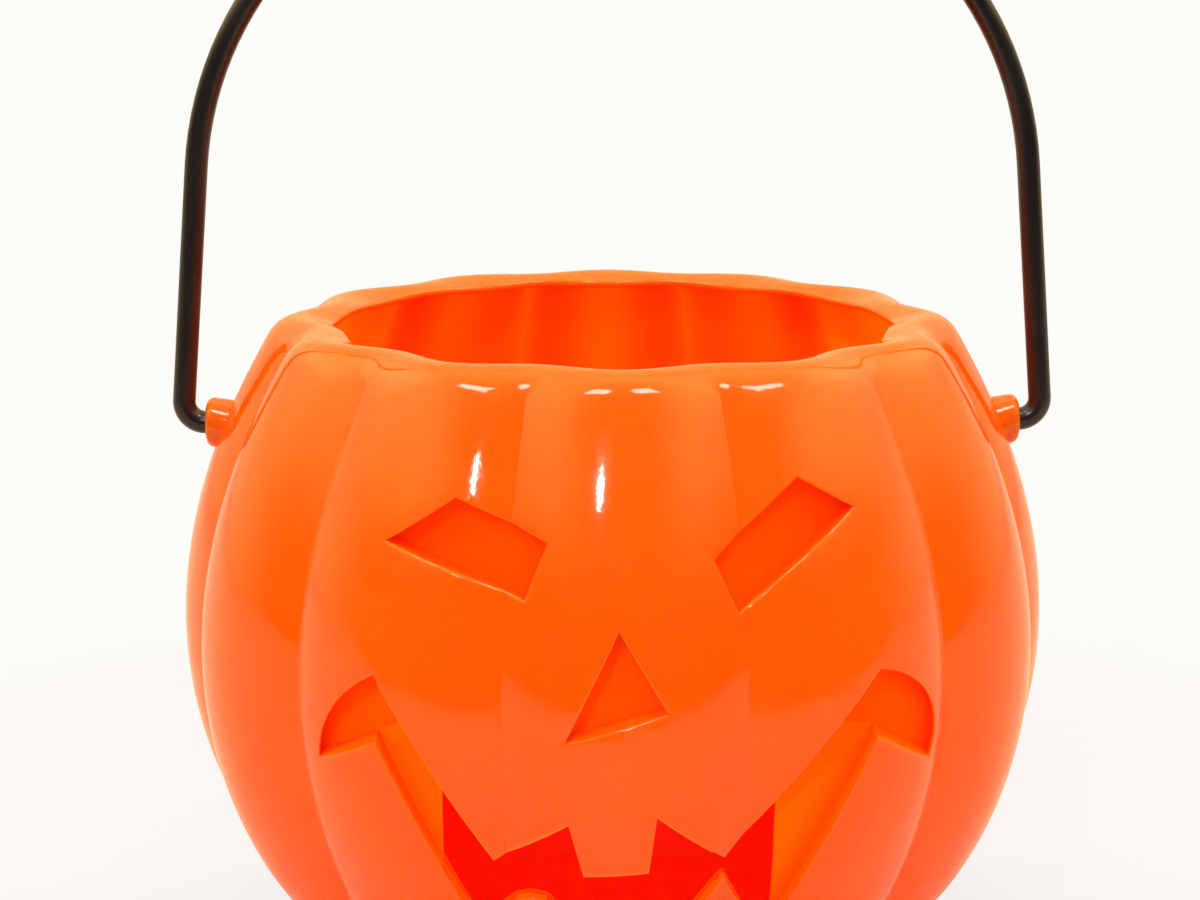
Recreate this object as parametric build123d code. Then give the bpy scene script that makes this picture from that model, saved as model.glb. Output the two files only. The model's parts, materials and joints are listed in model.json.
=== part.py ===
from build123d import *
from math import cos, radians, sin
import os

os.makedirs("parts", exist_ok=True)

# All sizes are millimetres. The pail stands on Z = 0 with its axis on Z.
# The carved face looks along -Y and the two handle ears lie on the X axis.

# Pumpkin body: the outer line of a lobe crest, given by how far each level is drawn in from the belly
belly_radius = 100.0
belly_height = 80.0
foot_draw_in = 48.0
bowl_draw_in = 15.5
bowl_height = 30.0
ear_draw_in = 10.2
ear_drop = 25.0  # ear axis below the top of the lip
shoulder_draw_in = 20.5
pail_height = 154.0
foot_slope = 30.0  # degrees at which the wall leaves the foot
wall = 2.0
wall_steps = 10  # the inner line is set off from the outer line at this many even steps

# Lobes: equal ribs round the body, with a sharp valley between each pair
lobe_count = 12
lobe_depth = 4.5

# Lip: the wall rolls inwards over the top and ends in a rounded edge
lip_radius = 9.0
lip_start = 115.0  # degrees, the way the wall points where the roll starts
lip_end = 195.0  # degrees, the way it points at the edge
lip_flat = 4.5

# Base: a flat foot ring round a plate that is pushed up
floor = 2.2
foot_ring_width = 9.0
plate_overlap = 3.0
plate_step = 0.6  # underside of the plate above the ground at its edge
plate_tuck = 0.3  # top of the plate below the top of the ring at its edge
plate_rise = 4.0

# Handle: one bent rod with a pin and a snap-in head at each end
rod_diameter = 5.2
head_lip = 1.05  # the head stands out this far round the pin
head_length = 2.6
head_taper = 0.7
pin_bend_inside = 2.2
leg_lean = 4.9  # degrees inwards
leg_length = 54.0
shoulder_bend_radius = 78.0
shoulder_bend = 55.0  # degrees

# Ears: hollow round bosses on the two side lobes, each with a bearing hole in its end
pin_clearance = 0.25  # all round the pin in its hole
head_clearance = 0.4  # all round the head inside the ear
end_play = 0.3
ear_wall = 1.7
ear_end = 2.0
ear_proud = 4.0  # end of the ear beyond the wall at the ear axis
ear_edge = 0.8

# Eyes, as X and drop below the top of the lip
eye_depth = 7.0
left_eye = [(-47.5, 33.0), (-33.5, 24.0), (-15.5, 31.5), (-20.0, 42.5)]
right_eye = [(17.5, 35.0), (34.5, 20.5), (46.0, 27.0), (22.5, 45.5)]

# Nose, cheeks and mouth, as X and height above the belly
nose_depth = 6.0
nose = [(-1.5, 26.5), (8.0, 10.5), (-12.0, 4.5)]
cheek_depth = 6.5
left_cheek_tip = (-62.5, -6.0)
left_cheek_bulge = (-58.5, 7.0)
right_cheek_tip = (63.5, -7.5)
right_cheek_bulge = (61.5, 8.5)
mouth_depth = 9.0
mouth_left = [(-50.0, 1.0), (-50.5, 14.5)]
upper_lip = [(-26.5, -23.5), (-11.5, -13.0), (-8.5, -24.5), (4.5, -23.5), (6.0, -11.0), (20.0, -22.5)]
mouth_right = [(51.5, 15.0), (51.0, 1.5)]
lower_lip = [(24.5, -43.0), (19.0, -24.5), (7.0, -43.0), (-11.0, -44.0), (-13.0, -29.5), (-21.0, -28.5)]
lower_lip_left = [(-26.0, -42.0)]
hole_left = -35.5  # the mouth is cut right through between these two
hole_right = 30.5

# Sizes that follow from these
foot_radius = belly_radius - foot_draw_in
foot_ring_radius = foot_radius - foot_ring_width
lip_rise = lip_radius * (1 + cos(radians(lip_start)))
shoulder_height = pail_height - lip_rise
half_lobe = 180.0 / lobe_count
ear_height = pail_height - ear_drop
ear_face = belly_radius - ear_draw_in + ear_proud
pin_hole = rod_diameter + 2 * pin_clearance
head_diameter = rod_diameter + 2 * head_lip
ear_hollow = head_diameter + 2 * head_clearance
ear_diameter = ear_hollow + 2 * ear_wall
pin_bend_radius = pin_bend_inside + rod_diameter / 2
face_front = belly_radius + 2 * wall  # cuts into the face start here, clear of the body
face_back = foot_ring_radius  # and end here, well inside it


def outer_line(drawn_in, moved_in):
    # Wall line from the foot to the lip; drawn_in fades out towards the round foot
    levels = [
        (bowl_draw_in, bowl_height),
        (0.0, belly_height),
        (ear_draw_in, ear_height),
        (shoulder_draw_in, shoulder_height),
    ]
    points = [(foot_radius - moved_in, 0.0)]
    points += [(belly_radius - draw - drawn_in - moved_in, height) for draw, height in levels]
    foot_way = (cos(radians(foot_slope)), sin(radians(foot_slope)))
    lip_way = (cos(radians(lip_start)), sin(radians(lip_start)))
    return points, Spline(*points, tangents=[foot_way, lip_way])


def wall_section(drawn_in):
    # Closed outline of the wall, lip and foot ring on one side of the axis
    outer = outer_line(drawn_in, 0.0)[1]
    roll = JernArc(outer @ 1, outer % 1, lip_radius, lip_end - lip_start)
    flat = Line(roll @ 1, roll @ 1 + (roll % 1) * lip_flat)
    edge = JernArc(flat @ 1, flat % 1, wall / 2, 180)
    under = Line(edge @ 1, edge @ 1 + (edge % 1) * lip_flat)
    under_roll = JernArc(under @ 1, under % 1, lip_radius - wall, lip_start - lip_end)
    inside = [under_roll @ 1]
    for step in reversed(range(1, wall_steps)):
        way = outer % (step / wall_steps)
        inside.append(outer @ (step / wall_steps) - Vector(way.Y, -way.X) * wall)
    inside.append(Vector(foot_radius, floor))
    inner = Spline(*inside, tangents=[under_roll % 1, -(outer % 0)])
    ring = Polyline(inner @ 1, (foot_ring_radius, floor), (foot_ring_radius, 0.0), outer @ 0)
    return make_face([outer, roll, flat, edge, under, under_roll, inner, *ring.edges()])


def core_section(drawn_in):
    # From the middle of the wall back to the middle of the pail
    points, middle = outer_line(drawn_in, wall / 2)
    back = Polyline(middle @ 1, (face_back, points[-1][1]), (face_back, 0.0), middle @ 0)
    return make_face([middle, *back.edges()])


def lobes(section, turns):
    # One lobe is lofted through five sections, deepest in its two valleys, and then repeated
    shares = [-1.0, -0.5, 0.0, 0.5, 1.0]
    faces = [section(lobe_depth * share ** 2) for share in shares]
    lobe = loft([Rot(0, 0, half_lobe * share) * (Plane.XZ * face) for share, face in zip(shares, faces)])
    ring = [Rot(0, 0, turn) * lobe for turn in turns]
    return ring[0].fuse(*ring[1:], glue=True)


def round_core(depth):
    # Plain round body whose surface lies this far inside the lobe crests
    points, line = outer_line(0.0, depth)
    back = Polyline(line @ 1, (0.0, points[-1][1]), (0.0, 0.0), line @ 0)
    return revolve(Plane.XZ * make_face([line, *back.edges()]), Axis.Z)


def front_prism(outline):
    # A face outline carried straight through the front wall
    face = Plane.XZ * outline
    return extrude(Pos(0, -face_back, 0) * face, face_front - face_back)


def polygon(points):
    return make_face(Polyline(*points, close=True).edges())


def eye(points):
    return polygon([(x, pail_height - drop) for x, drop in points])


def cheek(tip, bulge, corners):
    arc = ThreePointArc(corners[0], bulge, tip)
    rest = Polyline(tip, corners[1], corners[0])
    return Pos(0, belly_height) * make_face([arc, *rest.edges()])


def foot_plate():
    edge = foot_ring_radius + plate_overlap
    under = TangentArc((0.0, plate_rise), (edge, plate_step), tangent=(1, 0))
    over = TangentArc((0.0, plate_rise + floor), (edge, floor - plate_tuck), tangent=(1, 0))
    sides = [Line(under @ 0, over @ 0), Line(under @ 1, over @ 1)]
    return revolve(Plane.XZ * make_face([under, over, *sides]), Axis.Z)


def ear():
    # Boss on the +X lobe, cut off inside along the middle of the sloping wall, and the bore that goes into it
    across = Plane((face_back, 0, ear_height), x_dir=(0, 1, 0), z_dir=(1, 0, 0))
    boss = extrude(across * Circle(ear_diameter / 2), ear_face - face_back)
    boss = fillet(boss.edges().sort_by(Axis.X)[-1], ear_edge)
    points, line = outer_line(0.0, wall / 2)
    radius, height = points[-2]
    way = line.tangent_at(line.param_at_point(Vector(radius, height)))
    middle = Plane((radius, 0, height), z_dir=(way.Y, 0, -way.X))
    boss = split(boss, bisect_by=middle, keep=Keep.TOP)
    hollow = extrude(across * Circle(ear_hollow / 2), ear_face - ear_end - face_back)
    hole = extrude(across * Circle(pin_hole / 2), face_front - face_back)
    return boss, hollow + hole


def carvings():
    # Each carving of the face is a pocket: its outline and how deep its floor lies
    mouth = polygon(mouth_left + upper_lip + mouth_right + lower_lip + lower_lip_left)
    return [
        (eye(left_eye), eye_depth),
        (eye(right_eye), eye_depth),
        (Pos(0, belly_height) * polygon(nose), nose_depth),
        (cheek(left_cheek_tip, left_cheek_bulge, mouth_left[::-1]), cheek_depth),
        (cheek(right_cheek_tip, right_cheek_bulge, mouth_right), cheek_depth),
        (Pos(0, belly_height) * mouth, mouth_depth),
    ]


def pail_shell():
    turns = [2 * half_lobe * number for number in range(lobe_count)]
    front = lobes(core_section, [turn for turn in turns if turn > 180])
    boss, bore = ear()
    added = [foot_plate(), boss, Rot(0, 0, 180) * boss]
    removed = [bore, Rot(0, 0, 180) * bore]
    for outline, depth in carvings():
        # The pocket has a floor and side walls behind the front
        backing = front_prism(offset(outline, wall, kind=Kind.INTERSECTION)) & front
        added.append(backing - round_core(depth + wall))
        removed.append(front_prism(outline) - round_core(depth))
    mouth = front_prism(carvings()[-1][0])
    window = Box(hole_right - hole_left, face_front, pail_height, align=(Align.MIN, Align.MAX, Align.MIN))
    removed.append(mouth & (Pos(hole_left, 0, 0) * window))
    return lobes(wall_section, turns).fuse(*added).cut(*removed)


def bail_handle():
    pin_end = ear_face - ear_end - end_play - head_length
    pin = Line((pin_end, ear_height), (ear_face + end_play, ear_height))
    bend = JernArc(pin @ 1, pin % 1, pin_bend_radius, 90 + leg_lean)
    leg = Line(bend @ 1, bend @ 1 + (bend % 1) * leg_length)
    shoulder = JernArc(leg @ 1, leg % 1, shoulder_bend_radius, shoulder_bend)
    to_level = 90 - leg_lean - shoulder_bend
    crown_radius = (shoulder @ 1).X / sin(radians(to_level))
    crown = JernArc(shoulder @ 1, shoulder % 1, crown_radius, to_level)
    half = Plane.XZ * Wire([pin, bend, leg, shoulder, crown])
    start = Plane((pin_end, 0, ear_height), x_dir=(0, 1, 0), z_dir=(1, 0, 0))
    rod = sweep(start * Circle(rod_diameter / 2), path=half)
    head = extrude(start * Circle(head_diameter / 2), head_length)
    head = chamfer(head.edges().sort_by(Axis.X)[0], head_taper)
    rod = rod + head
    return rod + mirror(rod, Plane.YZ)


if __name__ == "__main__":
    export_step(pail_shell(), "parts/pail_shell.step")
    export_step(bail_handle(), "parts/bail_handle.step")
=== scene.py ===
import json
from math import cos, pi, radians, sin

import bpy
import numpy as np
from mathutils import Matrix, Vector


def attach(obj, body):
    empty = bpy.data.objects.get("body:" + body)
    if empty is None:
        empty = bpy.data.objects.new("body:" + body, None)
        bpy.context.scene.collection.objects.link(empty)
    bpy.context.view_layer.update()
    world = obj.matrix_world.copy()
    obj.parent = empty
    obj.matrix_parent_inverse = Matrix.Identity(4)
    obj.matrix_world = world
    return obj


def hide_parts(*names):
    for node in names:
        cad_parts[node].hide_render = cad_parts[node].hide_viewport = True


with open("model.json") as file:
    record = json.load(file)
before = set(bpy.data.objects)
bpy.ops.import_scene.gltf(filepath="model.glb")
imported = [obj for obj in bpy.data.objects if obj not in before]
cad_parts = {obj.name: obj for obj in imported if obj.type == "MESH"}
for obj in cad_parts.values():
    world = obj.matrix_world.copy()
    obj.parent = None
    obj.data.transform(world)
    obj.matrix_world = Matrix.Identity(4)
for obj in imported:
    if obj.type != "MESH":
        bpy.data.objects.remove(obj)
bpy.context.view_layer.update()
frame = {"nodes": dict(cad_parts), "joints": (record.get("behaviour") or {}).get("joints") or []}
mm = 0.001
seamGap = 0.02  # in mm, vertices nearer to each other than this are merged
print("frame loaded:", sorted(frame["nodes"]))


def deselectAll():
    bpy.ops.object.select_all(action="DESELECT")


def workOn(piece):
    deselectAll()
    piece.select_set(True)
    bpy.context.view_layer.objects.active = piece


def leaveEdit():
    bpy.ops.object.mode_set(mode="OBJECT")


def editAll(piece):
    workOn(piece)
    bpy.ops.object.mode_set(mode="EDIT")
    bpy.ops.mesh.select_all(action="SELECT")


def editOnly(piece, isWanted):
    # edit mode with only the wanted vertices selected
    editAll(piece)
    bpy.ops.mesh.select_all(action="DESELECT")
    leaveEdit()
    for vertex in piece.data.vertices:
        vertex.select = isWanted(vertex.co, vertex.index)
    bpy.ops.object.mode_set(mode="EDIT")


def applyModifier(piece, kind, **settings):
    workOn(piece)
    modifier = piece.modifiers.new(kind.lower(), kind)
    for name, value in settings.items():
        setattr(modifier, name, value)
    bpy.ops.object.modifier_apply(modifier=modifier.name)


def finishOf(name):
    # the finishes are told apart by material from the start, and get their nodes later
    return bpy.data.materials.get(name) or bpy.data.materials.new(name)


def dress(piece, material):
    piece.data.materials.clear()
    piece.data.materials.append(material)


def combine(piece, tool, operation, keepTool=False):
    # a cut keeps the finish of its tool
    applyModifier(
        piece, "BOOLEAN", object=tool, operation=operation, solver="MANIFOLD", material_mode="TRANSFER",
    )
    if not keepTool:
        bpy.data.objects.remove(tool)


def outlinePiece(name, places, fill="NOTHING"):
    # a circle primitive with one vertex for each place, in mm
    deselectAll()
    bpy.ops.mesh.primitive_circle_add(vertices=len(places), fill_type=fill)
    piece = bpy.context.object
    piece.name = name
    for vertex, place in zip(piece.data.vertices, places):
        vertex.co = Vector(place) * mm
    dress(piece, finishOf("orangePolypropylene"))
    return piece


def openOutline(piece):
    # an outline that starts and ends on the Z axis loses its closing edge before it is turned
    last = len(piece.data.vertices) - 1
    editOnly(piece, lambda place, number: number in (0, last))
    bpy.ops.mesh.delete(type="EDGE")
    leaveEdit()


def closeSeams(piece):
    editAll(piece)
    bpy.ops.mesh.remove_doubles(threshold=seamGap * mm)
    bpy.ops.mesh.normals_make_consistent(inside=False)
    leaveEdit()


# Pail: one hollow moulding with round lobes, sizes in mm
pail = {
    "footRadius": 52.0,
    "bowl": (84.5, 30.0),  # radius and height on a lobe's crest
    "belly": (99.9, 80.0),
    "earLevel": (89.8, 129.0),
    "shoulder": (79.0, 150.0),
    "footSlope": 30.0,  # degrees
    "wall": 2.0,
    "wallSteps": 64,
    "lipStart": 120.0,  # degrees, the way the wall points where the lip starts to roll inwards
    "lipEnd": 195.0,
    "lipRadius": 8.0,
    "lipFlat": 5.4,
    "lipFlatValley": 2.2,  # shorter in the valleys, so that the inner edge is nearly round
    "rollSteps": 10,
    "edgeSteps": 6,
    "underSteps": 8,
    "lobes": 12,
    "lobeDepth": 4.5,
    "lobeSteps": 8,  # from a crest to the valley beside it
    "coreSteps": 144,
    "creaseEnd": 149.0,  # the creases between the lobes run out from here upwards
    "creaseFade": 4.6,
    "innerSoftness": 0.6,
    "floor": 2.2,
    "floorTop": 10.0,  # faces below this that look up belong to the floor
    "facingUp": 0.5,
    "ringRadius": 43.0,
    "plateRise": 4.0,
    "plateStep": 0.9,
    "plateSteps": 8,
    "sharpAngle": 30.0,  # degrees, sharper edges stay sharp in the shading
}


def wayOf(degrees):
    return np.array((cos(radians(degrees)), sin(radians(degrees))))


def smoothLine(places, startWay, endWay, steps):
    # a cubic line through all places with a set way at each end
    places = np.array(places, float)
    spans = np.hypot(*np.diff(places, axis=0).T)
    knots = np.concatenate([[0.0], np.cumsum(spans)])
    count = len(places)
    matrix = np.eye(count)
    ways = np.array([startWay] + [(0.0, 0.0)] * (count - 2) + [endWay])
    for i in range(1, count - 1):
        before, after = spans[i - 1], spans[i]
        matrix[i, i - 1:i + 2] = after, 2 * (before + after), before
        rise = after / before * (places[i] - places[i - 1]) + before / after * (places[i + 1] - places[i])
        ways[i] = 3 * rise
    slopes = np.linalg.solve(matrix, ways)
    line = []
    for knot in np.linspace(0, knots[-1], steps + 1):
        i = min(np.searchsorted(knots, knot, side="right") - 1, count - 2)
        t = (knot - knots[i]) / spans[i]
        line.append(
            (1 + 2 * t) * (1 - t) ** 2 * places[i]
            + t * (1 - t) ** 2 * spans[i] * slopes[i]
            + t * t * (3 - 2 * t) * places[i + 1]
            + t * t * (t - 1) * spans[i] * slopes[i + 1]
        )
    return np.array(line)


def wallLine(drawnIn, movedIn):
    # outer line of the wall from the foot to the lip, as radius and height
    levels = [pail["bowl"], pail["belly"], pail["earLevel"], pail["shoulder"]]
    places = [(pail["footRadius"] - movedIn, 0.0)]
    places += [(radius - drawnIn - movedIn, height) for radius, height in levels]
    return smoothLine(places, wayOf(pail["footSlope"]), wayOf(pail["lipStart"]), pail["wallSteps"])


def arcLine(start, startWay, radius, endWay, steps):
    side = 90 if endWay > startWay else -90
    centre = start + radius * wayOf(startWay + side)
    return [centre + radius * wayOf(way - side) for way in np.linspace(startWay, endWay, steps + 1)[1:]]


def wallSection(drawnIn, lipFlat):
    # the whole wall on one side of the axis, and how soft the lobes are at each point
    wall = wallLine(drawnIn, 0.0)
    thickness = pail["wall"]
    lipWay = pail["lipEnd"]
    plate = np.linspace(0, 1, pail["plateSteps"] + 1)[:, None]
    rise = pail["plateRise"] - (pail["plateRise"] - pail["plateStep"]) * plate ** 2
    under = np.hstack([pail["ringRadius"] * plate, rise])
    roll = arcLine(wall[-1], pail["lipStart"], pail["lipRadius"], lipWay, pail["rollSteps"])
    flatEnd = roll[-1] + wayOf(lipWay) * lipFlat
    edge = arcLine(flatEnd, lipWay, thickness / 2, lipWay + 180, pail["edgeSteps"])
    underFlat = edge[-1] - wayOf(lipWay) * lipFlat
    underRadius = pail["lipRadius"] - thickness
    underRoll = arcLine(underFlat, lipWay + 180, underRadius, pail["lipStart"] + 180, pail["underSteps"])
    ways = np.gradient(wall, axis=0)
    ways /= np.linalg.norm(ways, axis=1)[:, None]
    inner = wall - np.stack([ways[:, 1], -ways[:, 0]], 1) * thickness
    foot = np.array((pail["ringRadius"], 0.0))
    floorEdge = np.array((pail["footRadius"], pail["floor"]))
    outside = [*under, foot, *wall]
    lip = [*roll, flatEnd, *edge, underFlat, *underRoll]
    # the lip and the floor take the place of the inner line's ends
    inside = [*inner[-2:2:-1], floorEdge, *(under[::-1] + (0, pail["floor"]))]
    fading = [(height - pail["creaseEnd"]) / pail["creaseFade"] for _, height in [*outside, *roll]]
    softness = [min(1.0, max(0.0, share)) for share in fading]
    softness += [1.0] * (len(lip) - len(roll)) + [pail["innerSoftness"]] * len(inside)
    return np.array(outside + lip + inside), softness


def coreSection(drawnIn):
    # the space inside the middle of the wall
    line = wallLine(drawnIn, pail["wall"] / 2)
    return np.array([(0.0, 0.0), *line, (0.0, line[-1][1])])


def lobedPiece(name, crest, valley, softness):
    # half a lobe is turned and drawn in towards its valley, then mirrored and repeated round the axis
    piece = outlinePiece(name, [(radius, 0, height) for radius, height in crest])
    half = pi / pail["lobes"]
    openOutline(piece)
    editAll(piece)
    bpy.ops.mesh.spin(steps=pail["lobeSteps"], angle=half, center=(0, 0, 0), axis=(0, 0, 1))
    leaveEdit()
    for number, vertex in enumerate(piece.data.vertices):
        step, point = divmod(number, len(crest))
        share = step / pail["lobeSteps"]
        sharp = share ** 2
        soft = (1 - cos(pi * share)) / 2
        drawn = sharp + (soft - sharp) * softness[point]
        radius, height = (crest[point] + (valley[point] - crest[point]) * drawn) * mm
        vertex.co = (radius * cos(half * share), radius * sin(half * share), height)
    applyModifier(piece, "MIRROR", use_axis=(False, True, False))
    editAll(piece)
    copies = pail["lobes"] - 1
    bpy.ops.mesh.spin(steps=copies, angle=2 * half * copies, center=(0, 0, 0), axis=(0, 0, 1), dupli=True)
    leaveEdit()
    closeSeams(piece)
    return piece


def roundCore(depth):
    # plain round body whose surface lies this far inside the lobe crests
    line = wallLine(0.0, depth)
    places = [(0, 0, 0), *[(radius, 0, height) for radius, height in line], (0, 0, line[-1][1])]
    piece = outlinePiece("roundCore", places)
    openOutline(piece)
    applyModifier(piece, "SCREW", axis="Z", steps=pail["coreSteps"], use_merge_vertices=True)
    closeSeams(piece)
    return piece


# Face: pockets moulded into the front, outlines as X and height in mm
face = {
    "eyeDepth": 7.0,
    "leftEye": [(-47.5, 121.0), (-33.5, 130.0), (-15.5, 122.5), (-20.0, 111.5)],
    "rightEye": [(17.5, 119.0), (34.5, 133.5), (46.0, 127.0), (22.5, 108.5)],
    "noseDepth": 6.0,
    "nose": [(-1.5, 106.5), (8.0, 90.5), (-12.0, 84.5)],
    "cheekDepth": 6.5,
    "leftCheekArc": [(-50.5, 94.5), (-58.5, 87.0), (-62.5, 74.0)],
    "leftCheekEnd": [(-50.0, 81.0), (-44.2, 84.5)],
    "leftCheekReach": [(-49.4, 80.2), (-43.6, 83.3)],  # a cut goes on into the mouth and leaves no thin wall
    "rightCheekArc": [(51.5, 95.0), (61.5, 88.5), (63.5, 72.5)],
    "rightCheekEnd": [(51.0, 81.5), (42.4, 84.1)],
    "rightCheekReach": [(50.4, 80.6), (41.8, 83.2)],
    "arcSteps": 10,
    "mouthDepth": 6.6,
    "upperLip": [(-26.5, 56.5), (-11.5, 67.0), (-8.5, 55.5), (4.5, 56.5), (6.0, 69.0), (20.0, 57.5)],
    "lowerLip": [
        (28.3, 35.5), (20.2, 52.6), (19.3, 52.6), (8.2, 36.5),  # pointed tooth
        (-13.2, 36.0), (-13.8, 44.7), (-14.4, 46.2), (-15.8, 47.5),  # round tooth
        (-19.2, 48.1), (-22.0, 47.2), (-24.4, 44.8), (-29.0, 38.0),
    ],
    "holeLeft": -37.0,  # the mouth is cut right through between these two
    "holeRight": 30.5,
    "holeTop": 150.0,
    "front": -106.0,  # where the cuts start and end along Y
    "back": -45.0,
    "edgeRound": 0.7,
    "rimStep": 1.2,
    "rimPoints": 5,
    "rimAir": 0.6,
    "seekRounds": 12,  # enough for a point on the lobed front to settle
}


def prism(name, outline):
    piece = outlinePiece(name, [(x, face["front"], height) for x, height in outline], fill="NGON")
    editAll(piece)
    length = (face["back"] - face["front"]) * mm
    bpy.ops.mesh.extrude_region_move(TRANSFORM_OT_translate={"value": (0, length, 0)})
    bpy.ops.mesh.select_all(action="SELECT")
    bpy.ops.mesh.normals_make_consistent(inside=False)
    leaveEdit()
    return piece


def cheekOutline(side, isCut):
    # the circle through three points, from the first to the last, and then the end on the mouth
    arc = face[side + "CheekArc"]
    outer, inner = face[side + "CheekEnd"]
    reach = face[side + "CheekReach"] if isCut else []
    (ax, ay), (bx, by), (cx, cy) = arc
    matrix = [[2 * (bx - ax), 2 * (by - ay)], [2 * (cx - ax), 2 * (cy - ay)]]
    sides = [bx ** 2 + by ** 2 - ax ** 2 - ay ** 2, cx ** 2 + cy ** 2 - ax ** 2 - ay ** 2]
    centre = np.linalg.solve(matrix, sides)
    radius = np.hypot(*(np.array(arc[0]) - centre))
    turns = np.unwrap([np.arctan2(*(np.array(place) - centre)[::-1]) for place in arc])
    angles = np.linspace(turns[0], turns[2], face["arcSteps"] + 1)
    return [*[tuple(centre + radius * np.array((cos(a), sin(a)))) for a in angles], outer, *reach, inner]


def mouthOutline():
    return [*face["leftCheekEnd"], *face["upperLip"], *face["rightCheekEnd"][::-1], *face["lowerLip"]]


def grinOutline():
    # the mouth and both cheeks in one
    leftCheek, rightCheek = [cheekOutline(side, isCut=False) for side in ("left", "right")]
    return [
        *leftCheek[:-1], *face["lowerLip"][::-1], *rightCheek[:-1][::-1],
        face["rightCheekEnd"][-1], *face["upperLip"][::-1], face["leftCheekEnd"][-1],
    ]


def pockets(isCut):
    # outline, depth and finish of each pocket
    # the eyes get painted shade in their colour, and the mouth's floor painted light
    return [
        (face["leftEye"], face["eyeDepth"], "paintedShadeOrangePolypropylene"),
        (face["rightEye"], face["eyeDepth"], "paintedShadeOrangePolypropylene"),
        (face["nose"], face["noseDepth"], "mattOrangePolypropylene"),
        (cheekOutline("left", isCut), face["cheekDepth"], "mattOrangePolypropylene"),
        (cheekOutline("right", isCut), face["cheekDepth"], "mattOrangePolypropylene"),
        (mouthOutline(), face["mouthDepth"], "paintedBacklitOrangePolypropylene"),
    ]


def carveFace(piece, core):
    # every pocket gets its backing first, so that no backing fills another pocket
    for outline, depth, _ in pockets(isCut=False):
        backing = prism("backing", outline)
        editAll(backing)
        bpy.ops.transform.shrink_fatten(value=pail["wall"] * mm, use_even_offset=True)
        leaveEdit()
        combine(backing, core, "INTERSECT", keepTool=True)
        combine(backing, roundCore(depth + pail["wall"]), "DIFFERENCE")
        # the backing lies inside, so it takes the finish with painted light and shade in its colour
        dress(backing, finishOf("paintedGlowOrangePolypropylene"))
        combine(piece, backing, "UNION")
    for outline, depth, finish in pockets(isCut=True):
        pocket = prism("pocket", outline)
        combine(pocket, roundCore(depth), "DIFFERENCE")
        dress(pocket, finishOf(finish))
        combine(piece, pocket, "DIFFERENCE")
    openMouth(piece)
    for outline in (face["leftEye"], face["rightEye"], face["nose"], grinOutline()):
        roundRim(piece, outline)


def openMouth(piece):
    left, right, top = face["holeLeft"], face["holeRight"], face["holeTop"]
    opening = prism("opening", mouthOutline())
    window = prism("window", [(left, 0.0), (left, top), (right, top), (right, 0.0)])
    combine(opening, window, "INTERSECT")
    # the hole's edge gets painted shade in its colour
    dress(opening, finishOf("paintedShadeOrangePolypropylene"))
    combine(piece, opening, "DIFFERENCE")


def frontPlace(x, height):
    # point of the lobed front at this X and height
    crest, valley = wallLine(0.0, 0.0), wallLine(pail["lobeDepth"], 0.0)
    half = pi / pail["lobes"]
    turn = 0.0
    for _ in range(face["seekRounds"]):
        share = abs((turn + half) % (2 * half) - half) / half
        line = crest + (valley - crest) * share ** 2
        radius = np.interp(height, line[:, 1], line[:, 0])
        turn = np.arcsin(x / radius)
    return np.array((x, -radius * cos(turn), height))


def rimSteps(outline):
    # even steps along a closed outline, each with the way out of it, which is mitred at the corners
    places = np.array(outline)
    following = np.roll(places, -1, axis=0)
    sides = following - places
    lengths = np.hypot(*sides.T)
    turning = np.sum(places[:, 0] * following[:, 1] - places[:, 1] * following[:, 0])
    outs = np.stack([sides[:, 1], -sides[:, 0]], 1) / lengths[:, None] * np.sign(turning)
    steps = []
    for number, (place, side, length, out) in enumerate(zip(places, sides, lengths, outs)):
        before = outs[number - 1]
        steps.append((place, (before + out) / (1 + before @ out)))
        count = max(1, int(length / face["rimStep"]))
        steps += [(place + side * step / count, out) for step in range(1, count)]
    return steps


def roundRim(piece, outline):
    # cuts the sharp edge off all round a carving and leaves a small round one
    size, air = face["edgeRound"], face["rimAir"]
    into = np.array((0.0, 1.0, 0.0))
    shares = np.linspace(0, 1, face["rimPoints"])
    rings = []
    for place, out in rimSteps(outline):
        corner, top = frontPlace(*place), frontPlace(*(place + size * out))
        side = corner + size * into
        inwards = np.array((out[0], 0.0, out[1])) * air
        arc = [(1 - t) ** 2 * top + 2 * t * (1 - t) * corner + t * t * side for t in shares]
        rings.append([*arc, side - inwards, corner - inwards - air * into, top - air * into])
    deselectAll()
    bpy.ops.mesh.primitive_torus_add(major_segments=len(rings), minor_segments=len(rings[0]))
    cutter = bpy.context.object
    for vertex, place in zip(cutter.data.vertices, [place for ring in rings for place in ring]):
        vertex.co = Vector(place) * mm
    dress(cutter, finishOf("orangePolypropylene"))
    closeSeams(cutter)
    combine(piece, cutter, "DIFFERENCE")


# Ears: short hollow bosses that carry the handle's pins, sizes in mm
ear = {
    "height": frame["joints"][0]["pos_m"][2] / mm,
    "face": 93.8,
    "radius": 5.75,
    "edge": 1.8,
    "edgeSteps": 6,
    "root": 60.0,  # the boss gets thicker and lower towards this distance from the axis
    "rootScale": 1.9,
    "rootDrop": 10.0,
    "hollowRadius": 4.05,
    "end": 2.0,
    "holeRadius": 2.85,
    "boreStart": 70.0,  # the hollow and the hole are bored from here outwards
    "boreEnd": 100.0,
    "sides": 48,
}


def rodAlongX(name, radius, start, end):
    deselectAll()
    bpy.ops.mesh.primitive_cylinder_add(
        vertices=ear["sides"], radius=radius * mm, depth=abs(end - start) * mm,
        location=((start + end) / 2 * mm, 0, ear["height"] * mm), rotation=(0, pi / 2, 0),
    )
    piece = bpy.context.object
    piece.name = name
    bpy.ops.object.transform_apply(location=True, rotation=True, scale=True)
    dress(piece, finishOf("orangePolypropylene"))
    return piece


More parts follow.
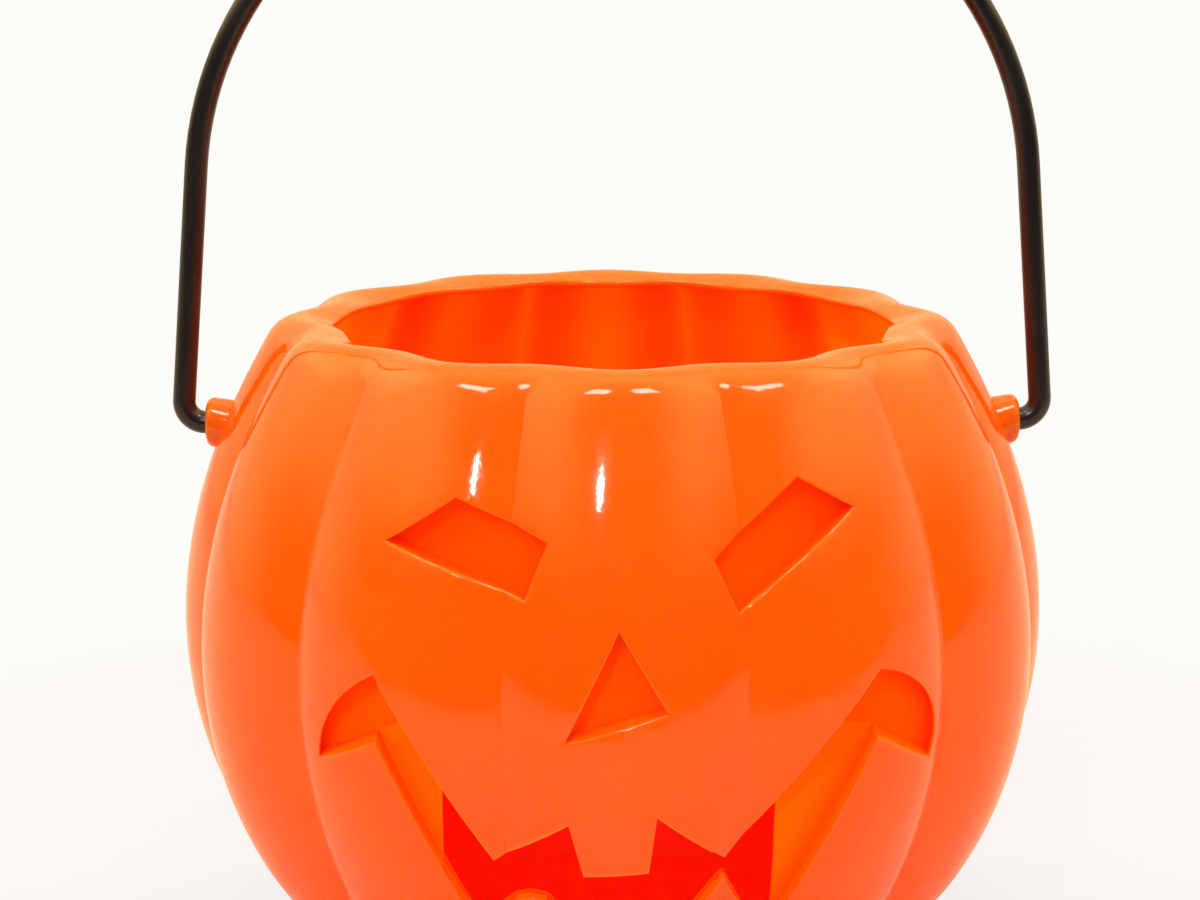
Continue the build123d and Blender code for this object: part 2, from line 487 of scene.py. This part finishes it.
def addEars(piece, core):
    axis = ear["height"] * mm
    middle = (ear["root"] + ear["face"]) / 2 * mm
    for side in (1, -1):
        boss = rodAlongX("boss", ear["radius"], side * ear["root"], side * ear["face"])
        editOnly(boss, lambda place, number: abs(place.x) > middle)
        bpy.ops.mesh.bevel(offset=ear["edge"] * mm, segments=ear["edgeSteps"], affect="EDGES")
        leaveEdit()
        for vertex in boss.data.vertices:
            if abs(vertex.co.x) < middle:
                vertex.co.y *= ear["rootScale"]
                vertex.co.z = axis + (vertex.co.z - axis) * ear["rootScale"] - ear["rootDrop"] * mm
        combine(boss, core, "DIFFERENCE", keepTool=True)
        combine(piece, boss, "UNION")
        start = side * ear["boreStart"]
        hollow = rodAlongX("hollow", ear["hollowRadius"], start, side * (ear["face"] - ear["end"]))
        combine(piece, hollow, "DIFFERENCE")
        hole = rodAlongX("hole", ear["holeRadius"], start, side * ear["boreEnd"])
        combine(piece, hole, "DIFFERENCE")


def modelPail():
    crest, softness = wallSection(0.0, pail["lipFlat"])
    valley = wallSection(pail["lobeDepth"], pail["lipFlatValley"])[0]
    piece = lobedPiece("pailShell", crest, valley, softness)
    coreCrest, coreValley = coreSection(0.0), coreSection(pail["lobeDepth"])
    core = lobedPiece("core", coreCrest, coreValley, [0.0] * len(coreCrest))
    # the inside and the floor take the finish with painted light and shade in its colour
    piece.data.materials.append(finishOf("paintedGlowOrangePolypropylene"))
    for facet in piece.data.polygons:
        isFloor = facet.center.z < pail["floorTop"] * mm and facet.normal.z > pail["facingUp"]
        isInside = facet.center.x * facet.normal.x + facet.center.y * facet.normal.y < 0
        facet.material_index = int((isFloor or isInside) and facet.center.z < pail["shoulder"][1] * mm)
    addEars(piece, core)
    carveFace(piece, core)
    bpy.data.objects.remove(core)
    workOn(piece)
    bpy.ops.object.shade_smooth_by_angle(angle=radians(pail["sharpAngle"]))
    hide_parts("pail_shell")
    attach(piece, "pail")
    return piece


pailShell = modelPail()
print("pail modelled:", len(pailShell.data.polygons), "faces")


def linear(code):
    # sRGB hex to linear colour
    values = [int(code[i:i + 2], 16) / 255 for i in (0, 2, 4)]
    return [v / 12.92 if v <= 0.04045 else ((v + 0.055) / 1.055) ** 2.4 for v in values] + [1.0]


def perMetre(size):
    # scale of a noise whose spots are about this many mm wide
    return 1 / (size * mm)


def addNode(tree, kind, settings=None, inputs=None):
    # of a Mix node for colours, inputs 6 and 7 are the two colours and output 2 is the mixed one
    node = tree.nodes.new(kind)
    for name, value in (settings or {}).items():
        setattr(node, name, value)
    for name, value in (inputs or {}).items():
        if isinstance(value, bpy.types.NodeSocket):
            tree.links.new(value, node.inputs[name])
        else:
            node.inputs[name].default_value = value
    return node


def newMaterial(name):
    material = finishOf(name)
    material.use_nodes = True
    material.node_tree.nodes.clear()
    return material, material.node_tree


# Orange polypropylene: what all its finishes share, sizes in mm
polypropylene = {
    "ior": 1.5,
    "mirrorTint": "FFF4E4",
    "reach": 80.0,  # how far red light goes on inside the plastic
    "reachShares": (1.0, 0.125, 0.0125),  # red, green and blue
    "cloud": 45.45,  # slow drift of the colour
    "smudge": 16.67,  # handling marks
    "smudgeRange": (0.35, 0.7),
    "smudgeRoughness": 0.06,
    "wave": 13.33,  # unevenness left by the mould
    "waveHeight": 0.6,
    "waveStrength": 0.25,
    "ripple": 2.0,  # finer on a real moulding, drawn coarse enough to show
    "rippleHeight": 0.2,
    "rippleStrength": 0.12,
}

# Its finishes: colours, roughness, share of the light that goes into the plastic, and strength of the gloss
finishes = {
    "orangePolypropylene": {  # outside, with sharp reflections of the lamps
        "low": "FC4E03", "high": "FD5405", "roughness": 0.05, "through": 0.5, "gloss": 0.5,
    },
    "mattOrangePolypropylene": {  # nose and cheeks, which mirror nothing
        "low": "FC5003", "high": "FD5604", "roughness": 0.5, "through": 0.5, "gloss": 0.0,
    },
    "paintedShadeOrangePolypropylene": {  # eyes and the edge of the hole, redder and darker: painted shade
        "low": "FC3E02", "high": "FD4303", "roughness": 0.5, "through": 0.5, "gloss": 0.0,
    },
    "paintedBacklitOrangePolypropylene": {  # floor of the mouth, yellower and lighter: painted light from behind
        "low": "FC6604", "high": "FD6C05", "roughness": 0.5, "through": 0.05, "gloss": 0.0,
    },
    "paintedGlowOrangePolypropylene": {  # inside: painted light makes it yellower at the side walls, and painted shade makes it red towards the floor
        "low": "FC4803", "high": "FD4E05", "roughness": 0.45, "through": 0.55, "gloss": 0.04,
        "sides": "FF8A08", "sidesRange": (45.0, 68.0), "floor": "FF1200", "floorRange": (105.0, 55.0),
    },
}


def paintedGlowOf(tree, place, colour, finish):
    # painted light: the colour is yellower at the side walls, where more light would come through, and
    # painted shade makes it redder towards the floor
    parts = addNode(tree, "ShaderNodeSeparateXYZ", inputs={0: place}).outputs
    aside = addNode(tree, "ShaderNodeMath", {"operation": "ABSOLUTE"}, {0: parts["X"]}).outputs[0]
    for name, value in {"sides": aside, "floor": parts["Z"]}.items():
        start, end = finish[name + "Range"]
        share = addNode(tree, "ShaderNodeMapRange", {"interpolation_type": "SMOOTHSTEP"}, {
            "Value": value, "From Min": start * mm, "From Max": end * mm,
        })
        colour = addNode(tree, "ShaderNodeMix", {"data_type": "RGBA"}, {
            "Factor": share.outputs[0], 6: colour.outputs[2], 7: linear(finish[name]),
        })
    return colour


def orangePolypropylene(name, finish):
    # moulded polypropylene: light that enters the thin wall comes out again on the inside as a warm glow,
    # which the inside finish strengthens with painted light and shade in its colour, and the mould's slight
    # waves and handling marks break up its reflections
    kind = polypropylene
    tree = newMaterial(name)[1]
    place = addNode(tree, "ShaderNodeTexCoord").outputs["Object"]
    cloud = addNode(tree, "ShaderNodeTexNoise", inputs={
        "Vector": place, "Scale": perMetre(kind["cloud"]), "Detail": 3.0,
    })
    colour = addNode(tree, "ShaderNodeMix", {"data_type": "RGBA"}, {
        "Factor": cloud.outputs["Fac"], 6: linear(finish["low"]), 7: linear(finish["high"]),
    })
    # the inside finish gets painted light at its side walls and painted shade towards its floor
    if "floor" in finish:
        colour = paintedGlowOf(tree, place, colour, finish)
    smudge = addNode(tree, "ShaderNodeTexNoise", inputs={
        "Vector": place, "Scale": perMetre(kind["smudge"]), "Detail": 5.0, "Roughness": 0.6,
    })
    gloss = addNode(tree, "ShaderNodeMapRange", inputs={
        "Value": smudge.outputs["Fac"],
        "From Min": kind["smudgeRange"][0],
        "From Max": kind["smudgeRange"][1],
        "To Min": finish["roughness"],
        "To Max": finish["roughness"] + kind["smudgeRoughness"],
    })
    relief = None
    for pattern in ("wave", "ripple"):
        bumps = addNode(tree, "ShaderNodeTexNoise", inputs={
            "Vector": place, "Scale": perMetre(kind[pattern]), "Detail": 2.0,
        })
        below = {"Normal": relief.outputs[0]} if relief else {}
        relief = addNode(tree, "ShaderNodeBump", inputs={
            "Height": bumps.outputs["Fac"],
            "Strength": kind[pattern + "Strength"],
            "Distance": kind[pattern + "Height"] * mm,
            **below,
        })
    shader = addNode(tree, "ShaderNodeBsdfPrincipled", inputs={
        "Base Color": colour.outputs[2],
        "Roughness": gloss.outputs[0],
        "IOR": kind["ior"],
        "Specular IOR Level": finish["gloss"],
        "Specular Tint": linear(kind["mirrorTint"]),
        "Subsurface Weight": finish["through"],
        "Subsurface Radius": kind["reachShares"],
        "Subsurface Scale": kind["reach"] * mm,
        "Normal": relief.outputs[0],
    })
    addNode(tree, "ShaderNodeOutputMaterial", inputs={"Surface": shader.outputs[0]})


# Handle: the CAD rod in satin black, sizes in mm
satinBlack = {
    "low": "141010",
    "high": "1C1817",
    "ior": 1.49,
    "roughness": (0.2, 0.36),
    "wear": 22.22,
    "grain": 0.556,  # finer on a real rod, drawn coarse enough to show
    "grainHeight": 0.1,
    "grainStrength": 0.15,
}


def blackPolypropylene():
    # moulded polypropylene with a satin skin: fine grain, and a worn sheen where hands hold it
    material, tree = newMaterial("blackPolypropylene")
    place = addNode(tree, "ShaderNodeTexCoord").outputs["Object"]
    wear = addNode(tree, "ShaderNodeTexNoise", inputs={
        "Vector": place, "Scale": perMetre(satinBlack["wear"]), "Detail": 4.0,
    })
    sheen = addNode(tree, "ShaderNodeMapRange", inputs={
        "Value": wear.outputs["Fac"],
        "To Min": satinBlack["roughness"][0],
        "To Max": satinBlack["roughness"][1],
    })
    colour = addNode(tree, "ShaderNodeMix", {"data_type": "RGBA"}, {
        "Factor": wear.outputs["Fac"], 6: linear(satinBlack["low"]), 7: linear(satinBlack["high"]),
    })
    grain = addNode(tree, "ShaderNodeTexNoise", inputs={
        "Vector": place, "Scale": perMetre(satinBlack["grain"]), "Detail": 2.0,
    })
    relief = addNode(tree, "ShaderNodeBump", inputs={
        "Height": grain.outputs["Fac"],
        "Strength": satinBlack["grainStrength"],
        "Distance": satinBlack["grainHeight"] * mm,
    })
    shader = addNode(tree, "ShaderNodeBsdfPrincipled", inputs={
        "Base Color": colour.outputs[2],
        "Roughness": sheen.outputs[0],
        "IOR": satinBlack["ior"],
        "Normal": relief.outputs[0],
    })
    addNode(tree, "ShaderNodeOutputMaterial", inputs={"Surface": shader.outputs[0]})
    return material


for name, finish in finishes.items():
    orangePolypropylene(name, finish)
handle = frame["nodes"]["bail_handle"]
dress(handle, blackPolypropylene())
print("materials set")


# Stage: white table in a white room, and the camera, sizes in mm
stage = {
    "cameraPlace": (-15.1, -549.8, 241.6),
    "cameraPitch": 12.27,  # degrees down
    "cameraTurn": 1.247,  # degrees from +Y towards +X
    "focalLength": 72.7,
    "sensorWidth": 36.0,
    "clipStart": 10.0,
    "white": "FDFCF8",  # table and room as the camera sees them
    "tableSize": 6000.0,
    "tableFront": -600.0,
    "tableFade": -380.0,  # the table darkens from here to its front
    "tableColour": "B89E7A",  # warm in the light that it throws back at the pail
    "tableFrontColour": "2A2725",
    "tableSeenColour": "9F9899",  # under the shadows that the camera sees
    "tableRoughness": 0.6,
    "tableMirrored": 0.12,  # share of plain white in its reflections
    "shadowNear": 180.0,  # the table shows shadows up to here, and fades to plain white from here on
    "shadowFar": 420.0,
    "whiteNear": 0.82,  # share of plain white where it shows shadows
    "roomColour": "FFFFFF",
    "roomLight": 1.0,
    "behindColour": "FFE2A4",  # the room in reflections
    "sideColour": "FFDD90",
    "sideLight": 3.3,
    "behind": (-0.3, 0.35),  # where its parts start and are full, as shares of the way along each axis
    "aside": (0.25, 0.8),
    "above": (0.2, 0.75),
    "overhead": (0.65, 0.95),
}


def seenWhite(tree, lit, kind, share, mirrored):
    # plain white to the camera and through clear things, in part to reflections, and else the lit shader
    path = addNode(tree, "ShaderNodeLightPath").outputs
    seen = addNode(tree, "ShaderNodeMath", {"operation": "ADD", "use_clamp": True}, {
        0: path["Is Camera Ray"], 1: path["Is Transmission Ray"],
    })
    seen = addNode(tree, "ShaderNodeMath", {"operation": "MULTIPLY_ADD", "use_clamp": True}, {
        0: path["Is Glossy Ray"], 1: mirrored, 2: seen.outputs[0],
    })
    seen = addNode(tree, "ShaderNodeMath", {"operation": "MULTIPLY"}, {0: seen.outputs[0], 1: share})
    white = addNode(tree, kind, inputs={"Color": linear(stage["white"]), "Strength": 1.0})
    return addNode(tree, "ShaderNodeMixShader", inputs={
        0: seen.outputs[0], 1: lit.outputs[0], 2: white.outputs[0],
    })


def whiteCard():
    # matt card: it shows soft shadows near the pail and is plain white further away
    material, tree = newMaterial("whiteCard")
    place = addNode(tree, "ShaderNodeTexCoord").outputs["Object"]
    distance = addNode(tree, "ShaderNodeVectorMath", {"operation": "LENGTH"}, {0: place}).outputs["Value"]
    far = addNode(tree, "ShaderNodeMapRange", {"interpolation_type": "SMOOTHSTEP"}, {
        "Value": distance,
        "From Min": stage["shadowNear"] * mm,
        "From Max": stage["shadowFar"] * mm,
        "To Min": stage["whiteNear"],
    })
    along = addNode(tree, "ShaderNodeSeparateXYZ", inputs={0: place}).outputs["Y"]
    fade = addNode(tree, "ShaderNodeMapRange", {"interpolation_type": "SMOOTHSTEP"}, {
        "Value": along, "From Min": stage["tableFront"] * mm, "From Max": stage["tableFade"] * mm,
    })
    colour = addNode(tree, "ShaderNodeMix", {"data_type": "RGBA"}, {
        "Factor": fade.outputs[0], 6: linear(stage["tableFrontColour"]), 7: linear(stage["tableColour"]),
    })
    isSeen = addNode(tree, "ShaderNodeLightPath").outputs["Is Camera Ray"]
    colour = addNode(tree, "ShaderNodeMix", {"data_type": "RGBA"}, {
        "Factor": isSeen, 6: colour.outputs[2], 7: linear(stage["tableSeenColour"]),
    })
    card = addNode(tree, "ShaderNodeBsdfPrincipled", inputs={
        "Base Color": colour.outputs[2], "Roughness": stage["tableRoughness"],
    })
    mirrored = addNode(tree, "ShaderNodeMath", {"operation": "MULTIPLY"}, {
        0: fade.outputs[0], 1: stage["tableMirrored"],
    })
    mix = seenWhite(tree, card, "ShaderNodeEmission", far.outputs[0], mirrored.outputs[0])
    addNode(tree, "ShaderNodeOutputMaterial", inputs={"Surface": mix.outputs[0]})
    return material


def setTable():
    deselectAll()
    size = stage["tableSize"]
    place = Vector((0, stage["tableFront"] + size / 2, 0)) * mm
    bpy.ops.mesh.primitive_plane_add(size=size * mm, location=place)
    table = bpy.context.object
    table.name = "table"
    bpy.ops.object.transform_apply(location=True, rotation=True, scale=True)
    dress(table, whiteCard())


def setRoom():
    # even light from all round; reflections show it pale behind, dark in front and warm on both sides above
    world = bpy.data.worlds.new("whiteRoom")
    bpy.context.scene.world = world
    world.use_nodes = True
    tree = world.node_tree
    tree.nodes.clear()
    way = addNode(tree, "ShaderNodeTexCoord").outputs["Generated"]
    parts = addNode(tree, "ShaderNodeSeparateXYZ", inputs={0: way}).outputs
    aside = addNode(tree, "ShaderNodeMath", {"operation": "ABSOLUTE"}, {0: parts["X"]}).outputs[0]
    ways = {"behind": parts["Y"], "aside": aside, "above": parts["Z"], "overhead": parts["Z"]}
    shares = {}
    for name, value in ways.items():
        start, end = stage[name]
        shares[name] = addNode(tree, "ShaderNodeMapRange", {"interpolation_type": "SMOOTHSTEP"}, {
            "Value": value, "From Min": start, "From Max": end,
        }).outputs[0]
    sides = addNode(tree, "ShaderNodeMath", {"operation": "MULTIPLY"}, {
        0: shares["aside"], 1: shares["above"],
    })
    sides = addNode(tree, "ShaderNodeMath", {"operation": "MULTIPLY_ADD"}, {
        0: sides.outputs[0], 1: stage["sideLight"], 2: shares["overhead"],
    })
    warm = addNode(tree, "ShaderNodeBackground", inputs={
        "Color": linear(stage["sideColour"]), "Strength": sides.outputs[0],
    })
    pale = addNode(tree, "ShaderNodeBackground", inputs={
        "Color": linear(stage["behindColour"]), "Strength": shares["behind"],
    })
    mirrored = addNode(tree, "ShaderNodeAddShader", inputs={0: warm.outputs[0], 1: pale.outputs[0]})
    light = addNode(tree, "ShaderNodeBackground", inputs={
        "Color": linear(stage["roomColour"]), "Strength": stage["roomLight"],
    })
    isMirrored = addNode(tree, "ShaderNodeLightPath").outputs["Is Glossy Ray"]
    lit = addNode(tree, "ShaderNodeMixShader", inputs={
        0: isMirrored, 1: light.outputs[0], 2: mirrored.outputs[0],
    })
    mix = seenWhite(tree, lit, "ShaderNodeBackground", 1.0, 0.0)
    addNode(tree, "ShaderNodeOutputWorld", inputs={"Surface": mix.outputs[0]})


# Lamps: places and sizes in mm, power in watts; reflections show only those that are mirrored
lampAim = (0, 0, 120)
lamps = {
    "stripLight": {"place": (-310, -1150, 945), "size": (16, 115), "power": 6.0, "isMirrored": True},
    "overheadLight": {"place": (0, 150, 1350), "size": (220, 70), "power": 8.0, "isMirrored": False},
    "leftSoftbox": {"place": (-340, -480, 1340), "size": (340, 240), "power": 3.8, "isMirrored": True},
    "rightSoftbox": {"place": (340, -480, 1340), "size": (340, 240), "power": 3.8, "isMirrored": True},
    "leftBacklight": {"place": (-950, 650, 950), "size": (250, 250), "power": 10.0, "isMirrored": False},
    "rightBacklight": {"place": (950, 650, 950), "size": (250, 250), "power": 10.0, "isMirrored": False},
}


def addLamp(name, settings):
    deselectAll()
    place = Vector(settings["place"])
    bpy.ops.object.light_add(type="AREA", location=place * mm)
    lamp = bpy.context.object
    lamp.name = name
    lamp.data.shape = "RECTANGLE"
    lamp.data.size, lamp.data.size_y = [side * mm for side in settings["size"]]
    lamp.data.energy = settings["power"]
    lamp.visible_camera = False
    lamp.visible_glossy = settings["isMirrored"]
    lamp.rotation_euler = (Vector(lampAim) - place).to_track_quat("-Z", "Y").to_euler()


def addCamera():
    deselectAll()
    bpy.ops.object.camera_add(location=Vector(stage["cameraPlace"]) * mm)
    camera = bpy.context.object
    camera.rotation_euler = (radians(90 - stage["cameraPitch"]), 0, radians(-stage["cameraTurn"]))
    camera.data.sensor_fit = "HORIZONTAL"
    camera.data.sensor_width = stage["sensorWidth"]
    camera.data.lens = stage["focalLength"]
    camera.data.clip_start = stage["clipStart"] * mm
    bpy.context.scene.camera = camera


setTable()
setRoom()
for name, settings in lamps.items():
    addLamp(name, settings)
addCamera()
bpy.context.scene.view_settings.view_transform = "Standard"
print("stage set")
